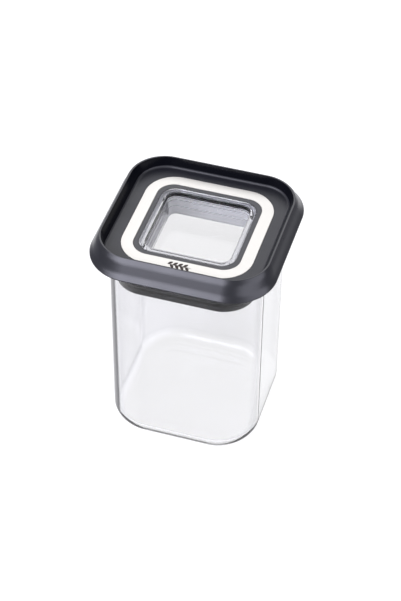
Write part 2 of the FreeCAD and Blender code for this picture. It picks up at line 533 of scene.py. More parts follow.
@dataclass(frozen=True)
class PressedGlass(ClearFinish):
    """Soda-lime glass, pressed and fire polished.

    The eye gets faintly grey walls with painted shade that darkens them at their edges, a
    clearer base, and a slow waviness that the mould leaves in the reflections. The dark line
    down the left-hand corners is a painted reflection of dark surroundings on that side, put
    there by place and direction.

    Args:
        base_colour: Colour of the clearer base, sRGB hex.
        base_ends_mm: Heights between which the base gives way to the walls.
        base_turns: Turns away from the eye between which the base stops being clearer.
        painted_line_turns: Turns away from the eye at which the dark line starts and is full.
        painted_line_colour: Its colour, sRGB hex.
        painted_line_side_mm: How far left of the middle it starts.
        painted_line_ways: X of the surface direction where it comes in, and where it goes out
            again.
    """

    ior: float = 1.52
    # Painted shade: the glass darkens towards its edges, with faint painted dark bands at some
    # turns.
    edges: tuple[tuple[float, str], ...] = (
        (0.52, "#eeeeef"), (0.98, "#4a4a50"), (0.62, "#dadadc"), (0.7, "#dadadc"),
        (0.74, "#eeeeef"), (0.86, "#eeeeef"), (0.91, "#8a8a90"),
    )
    mirror: str = "#aaaaaa"
    base_colour: str = "#ffffff"
    base_ends_mm: tuple[float, float] = (3.0, 9.0)
    base_turns: tuple[float, float] = (0.5, 0.6)
    # The dark line set below is a painted reflection of dark surroundings on the left.
    painted_line_turns: tuple[float, float] = (0.64, 0.7)
    painted_line_colour: str = "#020203"
    painted_line_side_mm: float = 30.0
    painted_line_ways: tuple[tuple[float, float], ...] = ((-0.45, -0.65), (-0.99, -0.965))
    wave_mm: float = 30.0
    wave_depth_mm: float = 0.02

    def tone(self, tree: Tree, place: Socket) -> Socket:
        """Adds the clearer base and the painted dark reflection line to the painted edge shade.
        """
        tone = paint_edge_shade(tree, self.edges)
        for share, colour in (
            (self.clear_base(tree, place), self.base_colour),
            (self.painted_dark_line(tree, place), self.painted_line_colour),
        ):
            tone = add_node(tree, "ShaderNodeMix",
                            {"data_type": "RGBA", "B": linear_colour(colour)},
                            [("Factor", share), ("A", tone)]).outputs["Result"]
        return tone

    def clear_base(self, tree: Tree, place: Socket) -> Socket:
        """Finds the base, which is shown without the walls' faint grey.

        Args:
            tree: Material's node tree.
            place: Place in the shared frame.

        Returns:
            How clear the glass is, 0 to 1.
        """
        spot = add_node(tree, "ShaderNodeSeparateXYZ", links=[("Vector", place)])
        low = add_node(tree, "ShaderNodeMapRange", {
            "interpolation_type": "SMOOTHSTEP",
            "From Min": self.base_ends_mm[1] * MM,
            "From Max": self.base_ends_mm[0] * MM,
        }, [("Value", spot.outputs["Z"])])
        facing = add_node(tree, "ShaderNodeLayerWeight", {"Blend": 0.5})
        open_face = add_node(tree, "ShaderNodeMapRange", {
            "From Min": self.base_turns[1],
            "From Max": self.base_turns[0],
        }, [("Value", facing.outputs["Facing"])])
        both = add_node(tree, "ShaderNodeMath", {"operation": "MULTIPLY"},
                        [(0, low.outputs["Result"]), (1, open_face.outputs["Result"])])
        return both.outputs["Value"]

    def painted_dark_line(self, tree: Tree, place: Socket) -> Socket:
        """Finds the painted dark reflection on the turned-away outside of the left-hand corners.

        Args:
            tree: Material's node tree.
            place: Place in the shared frame.

        Returns:
            How dark the glass is, 0 to 1.
        """
        facing = add_node(tree, "ShaderNodeLayerWeight", {"Blend": 0.5})
        turned = add_node(tree, "ShaderNodeMapRange", {
            "interpolation_type": "SMOOTHSTEP",
            "From Min": self.painted_line_turns[0],
            "From Max": self.painted_line_turns[1],
        }, [("Value", facing.outputs["Facing"])])
        spot = add_node(tree, "ShaderNodeSeparateXYZ", links=[("Vector", place)])
        left = add_node(tree, "ShaderNodeMath",
                        {"operation": "LESS_THAN", 1: -self.painted_line_side_mm * MM},
                        [(0, spot.outputs["X"])])
        surface = add_node(tree, "ShaderNodeTexCoord")
        way = add_node(tree, "ShaderNodeSeparateXYZ",
                       links=[("Vector", surface.outputs["Normal"])])
        shares = [turned.outputs["Result"]]
        for start, full in self.painted_line_ways:
            shares.append(add_node(tree, "ShaderNodeMapRange",
                                   {"From Min": start, "From Max": full},
                                   [("Value", way.outputs["X"])]).outputs["Result"])
        line = left.outputs["Value"]
        for share in shares:
            line = add_node(tree, "ShaderNodeMath", {"operation": "MULTIPLY"},
                            [(0, line), (1, share)]).outputs["Value"]
        return line


@dataclass(frozen=True)
class ClearPlastic(ClearFinish):
    """Clear acrylic, injection moulded against a polished tool.

    The eye gets a very clear plastic with crisp edges and a trace of flow waves. Walls, ledge,
    steps and pane are one moulding; their tones and mirror strengths are matched.
    """


@dataclass(frozen=True)
class SatinAbs(Finish):
    """Anthracite ABS, moulded against a fine spark-eroded tool.

    The eye gets a near-black body that turns soft grey where it mirrors a light, with a very
    fine grain in that sheen. The grain is drawn at 0.6 mm because the real 0.1 mm one is too
    fine to show.
    """

    shine: float = 0.5
    spread: float = 0.05
    relief: float = 0.5
    grain_mm: float = 0.6
    grain_depth_mm: float = 0.009
    cloud_mm: float = 14.0

    def surface(self, tree: Tree, shader: Node, place: Socket) -> None:
        """Adds the eroded grain and a slow change of sheen."""
        shader.inputs["IOR"].default_value = 1.54
        shader.inputs["Specular IOR Level"].default_value = self.shine
        cloud = add_node(tree, "ShaderNodeTexNoise",
                         {"Scale": cycles_per_metre(self.cloud_mm), "Detail": 3.0},
                         [("Vector", place)])
        vary_roughness(tree, shader, cloud.outputs["Fac"], self.roughness, self.spread)
        grain = add_node(tree, "ShaderNodeTexNoise",
                         {"Scale": cycles_per_metre(self.grain_mm), "Detail": 2.0},
                         [("Vector", place)])
        raise_surface(tree, shader, grain.outputs["Fac"], self.grain_depth_mm, self.relief)


@dataclass(frozen=True)
class BrushedSteel(Finish):
    """Stainless steel sheet, blanked and brushed along X.

    The eye gets a bright, faintly warm band with fine straight lines. The lines are drawn at
    0.35 mm because the real 0.05 mm ones are too fine to show.
    """

    metal: float = 0.6
    spread: float = 0.06
    relief: float = 0.4
    line_mm: float = 0.35
    line_length_mm: float = 18.0
    line_depth_mm: float = 0.004

    def surface(self, tree: Tree, shader: Node, place: Socket) -> None:
        """Adds the brushing's lines and their change of sheen to a mostly metallic base."""
        shader.inputs["Metallic"].default_value = self.metal
        stretch = add_node(tree, "ShaderNodeMapping",
                           {"Scale": (self.line_mm / self.line_length_mm, 1.0, 1.0)},
                           [("Vector", place)])
        lines = add_node(tree, "ShaderNodeTexNoise",
                         {"Scale": cycles_per_metre(self.line_mm), "Detail": 3.0},
                         [("Vector", stretch.outputs["Vector"])])
        vary_roughness(tree, shader, lines.outputs["Fac"], self.roughness, self.spread)
        raise_surface(tree, shader, lines.outputs["Fac"], self.line_depth_mm, self.relief)


@dataclass(frozen=True)
class MilkyPolypropylene(Finish):
    """Natural polypropylene, moulded with no pigment.

    The eye gets a milky white that glows a little where light comes through from behind.
    """

    scatter: float = 0.4
    scatter_mm: float = 1.5
    spread: float = 0.06
    cloud_mm: float = 6.0

    def surface(self, tree: Tree, shader: Node, place: Socket) -> None:
        """Adds scattering inside the plastic and a faint cloudiness."""
        shader.inputs["IOR"].default_value = 1.49
        shader.inputs["Subsurface Weight"].default_value = self.scatter
        shader.inputs["Subsurface Radius"].default_value = (1.0, 1.0, 1.0)
        shader.inputs["Subsurface Scale"].default_value = self.scatter_mm * MM
        cloud = add_node(tree, "ShaderNodeTexNoise",
                         {"Scale": cycles_per_metre(self.cloud_mm), "Detail": 2.0},
                         [("Vector", place)])
        vary_roughness(tree, shader, cloud.outputs["Fac"], self.roughness, self.spread)


@dataclass(frozen=True)
class DullSilicone(Finish):
    """Dark grey silicone rubber, compression moulded.

    The eye gets a dull, soft charcoal with a broad weak sheen on the lips.
    """

    sheen: float = 0.02
    spread: float = 0.08
    relief: float = 0.4
    grain_mm: float = 0.6
    grain_depth_mm: float = 0.01

    def surface(self, tree: Tree, shader: Node, place: Socket) -> None:
        """Adds the rubber's dusty sheen and its fine grain."""
        shader.inputs["IOR"].default_value = 1.43
        shader.inputs["Sheen Weight"].default_value = self.sheen
        grain = add_node(tree, "ShaderNodeTexNoise",
                         {"Scale": cycles_per_metre(self.grain_mm), "Detail": 2.0},
                         [("Vector", place)])
        vary_roughness(tree, shader, grain.outputs["Fac"], self.roughness, self.spread)
        raise_surface(tree, shader, grain.outputs["Fac"], self.grain_depth_mm, self.relief)


@dataclass(frozen=True)
class MountingFilm(Finish):
    """Acrylic mounting film, die cut.

    The eye gets a thin yellowish line, dull and slightly blotchy.
    """

    spread: float = 0.15
    blotch_mm: float = 2.5

    def surface(self, tree: Tree, shader: Node, place: Socket) -> None:
        """Adds the blotches that trapped air leaves."""
        blotch = add_node(tree, "ShaderNodeTexNoise",
                          {"Scale": cycles_per_metre(self.blotch_mm), "Detail": 2.0},
                          [("Vector", place)])
        vary_roughness(tree, shader, blotch.outputs["Fac"], self.roughness, self.spread)


@dataclass(frozen=True)
class PadPrint(Finish):
    """Dark brown ink, pad printed on metal.

    The eye gets a dense dull mark with slightly uneven cover.
    """

    spread: float = 0.1
    speck_mm: float = 0.4

    def surface(self, tree: Tree, shader: Node, place: Socket) -> None:
        """Adds the uneven cover of a pad print."""
        speck = add_node(tree, "ShaderNodeTexNoise",
                         {"Scale": cycles_per_metre(self.speck_mm), "Detail": 1.0},
                         [("Vector", place)])
        vary_roughness(tree, shader, speck.outputs["Fac"], self.roughness, self.spread)


@dataclass(frozen=True)
class LitAcrylic(Finish):
    """Opal acrylic table top, lit from below in a soft-edged panel.

    The eye gets a pure white ground that shines up through the glass, and pale grey outside
    the panel.

    Args:
        glow: Brightness inside the panel.
        spill: Brightness outside it.
        panel_turn: Turn of the panel, degrees.
        panel_shift: How far behind the canister its middle lies, metres.
        half_size: Half its width and half its depth, metres.
        fade: Width of its soft edge at the sides and at the ends, metres.
    """

    glow: float = 0.88
    spill: float = 0.12
    panel_turn: float = 16.55
    panel_shift: float = 0.21
    half_size: tuple[float, float] = (0.17, 0.315)
    fade: tuple[float, float] = (0.1, 0.2)

    def surface(self, tree: Tree, shader: Node, place: Socket) -> None:
        """Adds the light inside the sheet, fading out at the panel's edges."""
        shader.inputs["Specular IOR Level"].default_value = 0.0
        shader.inputs["Emission Color"].default_value = linear_colour("#ffffff")
        turned = add_node(tree, "ShaderNodeMapping", {
            "Rotation": (0.0, 0.0, -math.radians(self.panel_turn)),
            "Location": (0.0, -self.panel_shift, 0.0),
        }, [("Vector", place)])
        apart = add_node(tree, "ShaderNodeSeparateXYZ",
                         links=[("Vector", turned.outputs["Vector"])])
        sides = []
        for axis in (0, 1):
            away = add_node(tree, "ShaderNodeMath", {"operation": "ABSOLUTE"},
                            [(0, apart.outputs[axis])])
            sides.append(add_node(tree, "ShaderNodeMapRange", {
                "interpolation_type": "SMOOTHSTEP",
                "From Min": self.half_size[axis] + self.fade[axis],
                "From Max": self.half_size[axis],
            }, [("Value", away.outputs["Value"])]).outputs["Result"])
        both = add_node(tree, "ShaderNodeMath", {"operation": "MULTIPLY"},
                        [(0, sides[0]), (1, sides[1])])
        shine = add_node(tree, "ShaderNodeMapRange", {"To Min": self.spill, "To Max": self.glow},
                         [("Value", both.outputs["Value"])])
        tree.links.new(shine.outputs["Result"], shader.inputs["Emission Strength"])


class Finishes(Enum):
    """The finishes on this canister and in its studio."""

    JAR = PressedGlass("pressed_glass", "jar_glass", "#eeeeef", 0.0)
    SHELL = SatinAbs("satin_abs", "lid_plastic", "#10111a", 0.29)
    # The plate's lighter colour is painted light; the rim wall's darker colour with its weak
    # sheen is painted shade, on the one lid plastic.
    PLATE = SatinAbs("eroded_abs_painted_light", "lid_plastic", "#15161e", 0.48, shine=0.57)
    RIM_WALL = SatinAbs("polished_abs_painted_shade", "lid_plastic", "#0b0c12", 0.16, shine=0.08)
    RING = BrushedSteel("brushed_steel", "trim_steel", "#c6c4be", 0.34)
    # Painted shade: the ledge, the step lines and the pane are painted greyer than the clear
    # plastic, and every tone darkens towards its edges.
    CUP = ClearPlastic("clear_acrylic", "clear_plastic", "#f4f4f4", 0.0, mirror="#505050")
    CUP_LEDGE = ClearPlastic("acrylic_ledge_painted_shade", "clear_plastic", "#bebec4", 0.0,
                             edges=((0.5, "#bebec4"), (0.9, "#66666e")), mirror="#a0a0a0")
    CUP_STEP = ClearPlastic("acrylic_step_painted_shade", "clear_plastic", "#50505a", 0.0,
                            edges=((0.5, "#50505a"), (0.9, "#30303a")))
    CUP_PANE = ClearPlastic("acrylic_pane_painted_shade", "clear_plastic", "#ececea", 0.0,
                            edges=((0.5, "#ececea"), (0.95, "#84848c")), mirror="#000000")
    CARRIER = MilkyPolypropylene("milky_polypropylene", "carrier_plastic", "#f6f7fa", 0.45)
    SEAL = DullSilicone("dull_silicone", "seal_silicone", "#08080a", 0.55)
    FILM = MountingFilm("mounting_film", "bond_film", "#cfc8b0", 0.6)
    PRINT = PadPrint("pad_print", "trim_steel", "#2c1e16", 0.6)
    GROUND = LitAcrylic("lit_acrylic", "", "#828284", 0.8)


# ---------------------------------------------------------------------------
# The jar
# ---------------------------------------------------------------------------


@dataclass
class GlassJar:
    """The pressed glass jar, one thick-walled shell with a round foot.

    Args:
        corner: Outside corner radius.
        wall: Thickness of the side walls.
        base: Thickness of the floor.
        foot: Rounding between wall and underside.
        mouth: Fire-polished rounding of the mouth.
        hollow: Rise of the underside inside its bearing ring.
        bearing: Width of the flat bearing ring.
        ramp: Width of the slope from the bearing ring up to the hollow.
        ramp_rounding: Rounding at both ends of that slope.
        cap: How far the flat middle reaches past the corner arcs' centres.
    """

    corner: float = 25.3
    wall: float = 2.2
    base: float = 3.0
    foot: float = 9.0
    mouth: float = 1.05
    hollow: float = 0.12
    bearing: float = 5.0
    ramp: float = 2.0
    ramp_rounding: float = 3.0
    cap: float = 2.0

    def build(self) -> Piece:
        """Builds the jar.

        Returns:
            The glass jar, standing for the CAD jar.
        """
        side = half_width("glass_jar")
        brim = level("glass_jar", top=True)
        centre = side - self.corner
        inside = side - self.wall
        ring = side - self.foot - self.bearing
        core = centre + self.cap
        turns = (
            Turn(core, self.hollow, 0.0, centre),
            Turn(ring - self.ramp, self.hollow, self.ramp_rounding, centre),
            Turn(ring, 0.0, self.ramp_rounding, centre),
            Turn(side, 0.0, self.foot, centre),
            Turn(side, brim, self.mouth, centre),
            Turn(inside, brim, self.mouth, centre),
            Turn(inside, self.base, self.foot - self.wall, centre),
            Turn(core, self.base, 0.0, centre),
        )
        sweep = SquareSweep(corner_steps=40, rounding_steps=16)
        jar = sweep.build("pressed_jar", turns, closed=False)
        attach(jar, "jar")
        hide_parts("glass_jar")
        return jar

    def dress(self, jar: Piece) -> None:
        """Puts the glass on."""
        Finishes.JAR.value.put_on(jar)


# ---------------------------------------------------------------------------
# The lid
# ---------------------------------------------------------------------------


class ShellZone(IntEnum):
    """The shell's three sheens, with the plate painted lighter and the rim wall painted darker,
    in the order of its materials.
    """

    SKIRT = 0
    PLATE = 1
    RIM_WALL = 2


@dataclass
class LidShell:
    """The moulded shell: plate, stacking rim and flared skirt, cored from below.

    Args:
        corner: Skirt's corner radius.
        plate: Thickness of the plate.
        wall: Wall of skirt and rim.
        recess_half: Half width of the recess at its floor.
        recess_corner: Corner radius of the recess at its floor.
        spread: How far the rim opens out on the left and right.
        rim_corner: Corner radius of the rim outside.
        lip: Width of the rim's flat top at the front and back.
        side_lip: Width of the rim's flat top on the left and right.
        edge: Rounding of the rim's edges.
        hem: Rounding of the skirt's lower edge.
        inset: How far the skirt stays inside its full width.
        hem_land: Height of the upright strip above the lower edge.
        sway: How far the skirt's face swings in low down and out high up.
        bends: Shares of the face's height at which it swings in and out.
        bend_radius: Radius of those two bends.
        crease: Fillet where the recess wall meets the plate.
        pocket_gap: Play round the steel ring in its pocket.
        crisp: Smallest rounding the tool leaves on an edge.
    """

    corner: float = 25.9
    plate: float = 2.2
    wall: float = 1.9
    recess_half: float = 44.4
    recess_corner: float = 17.3
    spread: float = 2.75
    rim_corner: float = 20.9
    lip: float = 0.9
    side_lip: float = 1.25
    edge: float = 0.3
    hem: float = 0.3
    inset: float = 0.02
    hem_land: float = 0.6
    sway: float = 0.11
    bends: tuple[float, float] = (0.28, 0.74)
    bend_radius: float = 20.0
    crease: float = 1.4
    pocket_gap: float = 0.15
    crisp: float = 0.1

    def build(self, inlay: "TrimInlay", cup: "WindowCup") -> Piece:
        """Builds the shell round the ring and the cup.

        Args:
            inlay: Steel ring whose pocket is cut in the plate.
            cup: Window cup whose opening goes through the plate.

        Returns:
            The shell, standing for the CAD shell.
        """
        skirt = half_depth("lid_shell") - self.inset
        side = half_width("lid_shell") - half_depth("lid_shell")
        foot = level("lid_shell", top=False)
        crown = level("lid_shell", top=True)
        under = level("glass_jar", top=True)
        floor = under + self.plate
        centre = skirt - self.corner
        recess_centre = self.recess_half - self.recess_corner
        rim = self.recess_half + self.lip
        rim_centre = rim - self.rim_corner
        rim_stretch = self.spread + self.side_lip - self.lip
        slope = (skirt - rim) / (crown - foot)
        core = self.recess_half + self.wall
        core_foot = skirt - self.wall * math.hypot(1.0, slope)
        core_top = foot + (core_foot - core) / slope
        outer, inner = inlay.outer_half + self.pocket_gap, inlay.inner_half - self.pocket_gap
        bed = inlay.bed
        sill = cup.crown
        turns = (
            Turn(cup.opening_half, under, self.crisp, cup.centre),
            Turn(core, under, self.crisp, recess_centre),
            Turn(core, core_top, self.crisp, centre, rim_stretch / 2),
            Turn(core_foot, foot, self.crisp, centre),
            Turn(skirt, foot, self.crisp, centre, side),
            Turn(skirt, foot + self.hem_land, self.hem, centre, side),
            *self.face(skirt, foot + self.hem_land, rim, crown, rim_stretch, centre, rim_centre),
            Turn(rim, crown, self.edge, rim_centre, rim_stretch),
            Turn(rim - self.lip, crown, self.edge, rim_centre, self.spread,
                 zone=ShellZone.RIM_WALL),
            Turn(self.recess_half, floor, self.crease, recess_centre, zone=ShellZone.PLATE),
            Turn(outer, floor, self.crisp, inlay.outer_centre),
            Turn(outer, bed, self.crisp, inlay.outer_centre),
            Turn(inner, bed, self.crisp, inlay.inner_centre),
            Turn(inner, sill, self.crisp, inlay.inner_centre),
            Turn(cup.opening_half, sill, self.crisp, cup.centre),
        )
        shell = SquareSweep(corner_steps=36, rounding_steps=5).build("moulded_shell", turns)
        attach(shell, "lid")
        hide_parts("lid_shell")
        return shell

    def face(self, skirt: float, foot: float, rim: float, crown: float, stretch: float,
             centre: float, rim_centre: float) -> list[Turn]:
        """Lists the two soft bends that sway the skirt's face.

        Args:
            skirt: Half width at the face's foot.
            foot: Height of the face's foot.
            rim: Half width at the face's top.
            crown: Height of the face's top.
            stretch: How much further out the sides stand at the top.
            centre: Offset of the corner arcs at the foot.
            rim_centre: Offset of the corner arcs at the top.

        Returns:
            The bends, from the lower to the upper.
        """
        bends = []
        for share, swing in zip(self.bends, (-self.sway, self.sway)):
            bends.append(Turn(
                skirt + (rim - skirt) * share + swing,
                foot + (crown - foot) * share + swing,
                self.bend_radius,
                centre + (rim_centre - centre) * share,
                stretch * share,
            ))
        return bends

    def dress(self, shell: Piece) -> None:
        """Puts the anthracite plastic on: skirt, eroded plate painted lighter as painted light,
        and polished rim wall painted darker as painted shade.
        """
        Finishes.SHELL.value.put_on(shell)
        for zone in (Finishes.PLATE, Finishes.RIM_WALL):
            shell.data.materials.append(zone.value.material())


@dataclass
class TrimInlay:
    """The brushed ring let into the plate, the film under it and the small print on it.

    Args:
        outer_radius: Corner radius outside.
        inner_radius: Corner radius inside.
        band: Width of the ring.
        burr: Rounding of its edges.
        film: Thickness of the mounting film.
        sprig_length: Length of the printed sprig.
        sprig_leaves: Leaves on each side of its stem.
        leaf_length: Length of one leaf.
        leaf_width: Width of one leaf.
        leaf_angle: Angle between leaf and stem, in radians.
        stem_width: Width of the stem.
        sprig_front: How far the sprig sits in front of the band's middle.
        ink: How far the ink stands over the steel.
        leaf_steps: Facets along a leaf's edge.
        leaf_point: Power of the leaf's sine outline; under 1 is fuller.
        leads: Side of the stem, and share of a gap by which its leaves start late.
    """

    outer_radius: float = 17.6
    inner_radius: float = 10.0
    band: float = 6.83
    burr: float = 0.1
    film: float = 0.15
    sprig_length: float = 14.4
    sprig_leaves: int = 4
    leaf_length: float = 3.4
    leaf_width: float = 1.7
    leaf_angle: float = 0.8
    stem_width: float = 0.8
    sprig_front: float = 0.6
    ink: float = 0.02
    leaf_steps: int = 8
    leaf_point: float = 0.8
    leads: tuple[tuple[int, float], ...] = ((1, 0.2), (-1, 0.7))

    @property
    def outer_half(self) -> float:
        """Half width of the ring outside."""
        return half_width("trim_ring")

    @property
    def inner_half(self) -> float:
        """Half width of the ring inside."""
        return self.outer_half - self.band

    @property
    def outer_centre(self) -> float:
        """Offset of the outer corner arcs."""
        return self.outer_half - self.outer_radius

    @property
    def inner_centre(self) -> float:
        """Offset of the inner corner arcs."""
        return self.inner_half - self.inner_radius

    @property
    def bed(self) -> float:
        """Height of the pocket's floor."""
        return level("trim_ring", top=False) - self.film

    def build(self) -> tuple[Piece, Piece]:
        """Builds the ring and the print.

        Returns:
            The ring, standing for the CAD ring, and the printed sprig.
        """
        low, high = level("trim_ring", top=False), level("trim_ring", top=True)
        turns = (
            Turn(self.inner_half, low, self.burr, self.inner_centre),
            Turn(self.outer_half, low, self.burr, self.outer_centre),
            Turn(self.outer_half, high, self.burr, self.outer_centre),
            Turn(self.inner_half, high, self.burr, self.inner_centre),
        )
        ring = SquareSweep(corner_steps=36, rounding_steps=3).build("brushed_ring", turns)
        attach(ring, "lid")
        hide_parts("trim_ring")
        sprig = self.sprig(high + self.ink)
        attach(sprig, "lid")
        return ring, sprig

    def sprig(self, height: float) -> Piece:
        """Builds the printed leaf sprig on the front of the ring.

        Args:
            height: Height of the ink's surface.

        Returns:
            The print, a flat mesh.
        """
        middle = Vector((0.0, -(self.outer_half + self.inner_half) / 2 - self.sprig_front))
        points: list[Vector] = []
        faces: list[list[int]] = []

        def leaf(root: Vector, heading: float, length: float, width: float) -> None:
            """Adds one pointed leaf."""
            way = Vector((math.cos(heading), math.sin(heading)))
            side = Vector((-way.y, way.x))
            spots = [step / self.leaf_steps for step in range(self.leaf_steps + 1)]
            edge = [(t, math.sin(math.pi * t) ** self.leaf_point) for t in spots]
            ring = [root + way * length * t - side * width / 2 * w for t, w in edge]
            edge = reversed(edge[1:-1])
            ring += [root + way * length * t + side * width / 2 * w for t, w in edge]
            faces.append(list(range(len(points), len(points) + len(ring))))
            points.extend(Vector((p.x, p.y, height)) * MM for p in ring)

        start = middle - Vector((self.sprig_length / 2, 0.0))
        leaf(start, 0.0, self.sprig_length, self.stem_width)
        gap = self.sprig_length / (self.sprig_leaves + 1)
        for index in range(self.sprig_leaves):
            for side, lead in self.leads:
                root = start + Vector((gap * (index + lead), 0.0))
                leaf(root, side * self.leaf_angle, self.leaf_length, self.leaf_width)
        return mesh_object("printed_sprig", points, faces)

    def dress(self, ring: Piece, sprig: Piece) -> None:
        """Puts steel, ink and film on."""
        Finishes.RING.value.put_on(ring)
        Finishes.PRINT.value.put_on(sprig)
        Finishes.FILM.value.put_on(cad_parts["trim_adhesive"])


class CupZone(IntEnum):
    """The cup's four tones, with painted shade on the step lines, pane and ledge, in the order
    of its materials.
    """

    WALL = 0
    STEP = 1
    PANE = 2
    LEDGE = 3


@dataclass
class WindowCup:
    """The clear cup that makes the sunk window.

    Args:
        opening_radius: Corner radius of the opening in the plate.
        opening_half: Half width of that opening.
        play: Gap between the opening and the cup.
        ledge: Flat clear rim round the well.
        wall: Wall of the well.
        pane: Thickness of the pane.
        flange: Thickness of the flange under the plate.
        lip: Rounding at the top edges.
        heel: Fillet round the pane.
        cap: How far the flat middle reaches past the corner arcs' centres.
        foot: Rounding of the lower outside edge.
        steps: Depths under the plate's top at which the well narrows a little.
        step: How much it narrows at each.
        crisp: Smallest rounding the tool leaves.
    """

    opening_radius: float = 8.9
    opening_half: float = 28.0
    play: float = 0.15
    ledge: float = 3.25
    wall: float = 1.8
    pane: float = 2.0
    flange: float = 2.0
    lip: float = 0.4
    heel: float = 1.0
    cap: float = 1.0
    foot: float = 1.5
    steps: tuple[float, ...] = (3.9, 5.7, 9.8)
    step: float = 0.3
    crisp: float = 0.15

    @property
    def centre(self) -> float:
        """Offset of the corner arcs."""
        return self.opening_half - self.opening_radius

    @property
    def crown(self) -> float:
        """Height of the clear rim's top."""
        return level("window_cup", top=True)

    def build(self) -> Piece:
        """Builds the cup.

        Returns:
            The cup, standing for the CAD cup.
        """
        under = level("glass_jar", top=True)
        bottom = level("window_cup", top=False)
        upstand = self.opening_half - self.play
        well = upstand - self.ledge
        outside = well + self.wall
        brim = half_width("window_cup")
        ledges = []
        foot_half = well
        for depth in self.steps:
            height = level("trim_ring", top=True) - depth
            ledges.append(Turn(foot_half, height, self.crisp / 2, self.centre,
                               zone=CupZone.STEP))
            foot_half -= self.step
            ledges.append(Turn(foot_half, height, self.crisp / 2, self.centre))
        turns = (
            Turn(self.centre + self.cap, bottom, 0.0, self.centre, zone=CupZone.PANE),
            Turn(outside, bottom, self.foot, self.centre),
            Turn(outside, under - self.flange, self.crisp, self.centre),
            Turn(brim, under - self.flange, self.crisp, self.centre),
            Turn(brim, under, self.crisp, self.centre),
            Turn(upstand, under, self.crisp, self.centre),
            Turn(upstand, self.crown, self.lip, self.centre, zone=CupZone.LEDGE),
            Turn(well, self.crown, self.lip, self.centre),
            *ledges,
            Turn(foot_half, bottom + self.pane, self.heel, self.centre, zone=CupZone.PANE),
            Turn(self.centre + self.cap, bottom + self.pane, 0.0, self.centre,
                 zone=CupZone.PANE),
        )
        sweep = SquareSweep(corner_steps=24, rounding_steps=6)
        cup = sweep.build("clear_cup", turns, closed=False)
        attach(cup, "lid")
        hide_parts("window_cup")
        return cup

    def dress(self, cup: Piece) -> None:
        """Puts the clear plastic on: walls, and step lines, a quiet pane and a ledge that are
        painted darker as painted shade.
        """
        Finishes.CUP.value.put_on(cup)
        for zone in (Finishes.CUP_STEP, Finishes.CUP_PANE, Finishes.CUP_LEDGE):
            cup.data.materials.append(zone.value.material())


